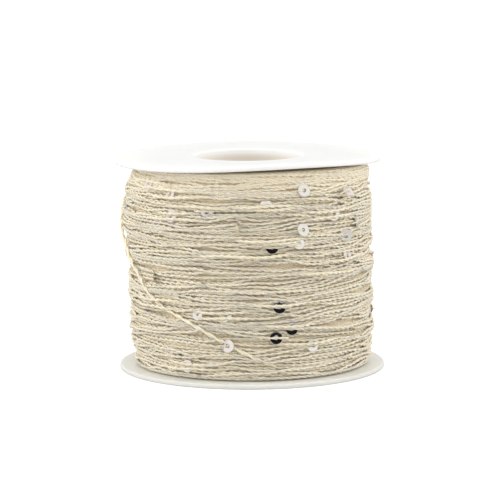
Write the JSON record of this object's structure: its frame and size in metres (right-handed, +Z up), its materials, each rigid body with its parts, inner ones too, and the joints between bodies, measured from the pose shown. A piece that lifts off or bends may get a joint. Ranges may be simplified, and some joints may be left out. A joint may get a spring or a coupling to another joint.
{
  "type": "reel of sequin trim",
  "caption": "White plastic reel with two round flanges and an open core, wound full of fine cream yarn that carries small round sequins, with one strand crossing it.",
  "frame": {"origin": "on the surface under the middle of the reel, which stands on its lower flange", "axes": "+Z up along the core; -Y is the side that the picture shows; +X to its right"},
  "size_m": [0.0658, 0.065, 0.0533],
  "materials": {
    "reel_plastic": "translucent white moulded plastic, satin",
    "cream_yarn": "fine two-ply cream yarn, wound in turns that cross at low angles",
    "sequin_film": "thin dished silvery film with a faint pearl tint"
  },
  "bodies": {
    "root": {"flange_lower": "reel_plastic", "flange_upper": "reel_plastic", "core_tube": "reel_plastic", "wound_trim": "cream_yarn", "crossing_strand": "cream_yarn", "sequin_01": "sequin_film", "sequin_02": "sequin_film", "sequin_03": "sequin_film", "sequin_04": "sequin_film", "sequin_05": "sequin_film", "sequin_06": "sequin_film", "sequin_07": "sequin_film", "sequin_08": "sequin_film", "sequin_09": "sequin_film", "sequin_10": "sequin_film", "sequin_11": "sequin_film", "sequin_12": "sequin_film", "sequin_13": "sequin_film", "sequin_14": "sequin_film", "sequin_15": "sequin_film", "sequin_16": "sequin_film", "sequin_17": "sequin_film", "sequin_18": "sequin_film", "sequin_19": "sequin_film", "sequin_20": "sequin_film", "sequin_21": "sequin_film", "sequin_22": "sequin_film", "sequin_23": "sequin_film", "sequin_24": "sequin_film", "sequin_25": "sequin_film", "sequin_26": "sequin_film", "sequin_27": "sequin_film", "sequin_28": "sequin_film", "sequin_29": "sequin_film", "sequin_30": "sequin_film", "sequin_31": "sequin_film", "sequin_32": "sequin_film", "sequin_33": "sequin_film", "sequin_34": "sequin_film", "sequin_35": "sequin_film", "sequin_36": "sequin_film", "sequin_37": "sequin_film", "sequin_38": "sequin_film", "sequin_39": "sequin_film", "sequin_40": "sequin_film", "sequin_41": "sequin_film", "sequin_42": "sequin_film", "sequin_43": "sequin_film", "sequin_44": "sequin_film", "sequin_45": "sequin_film", "sequin_46": "sequin_film"}
  },
  "joints": []
}
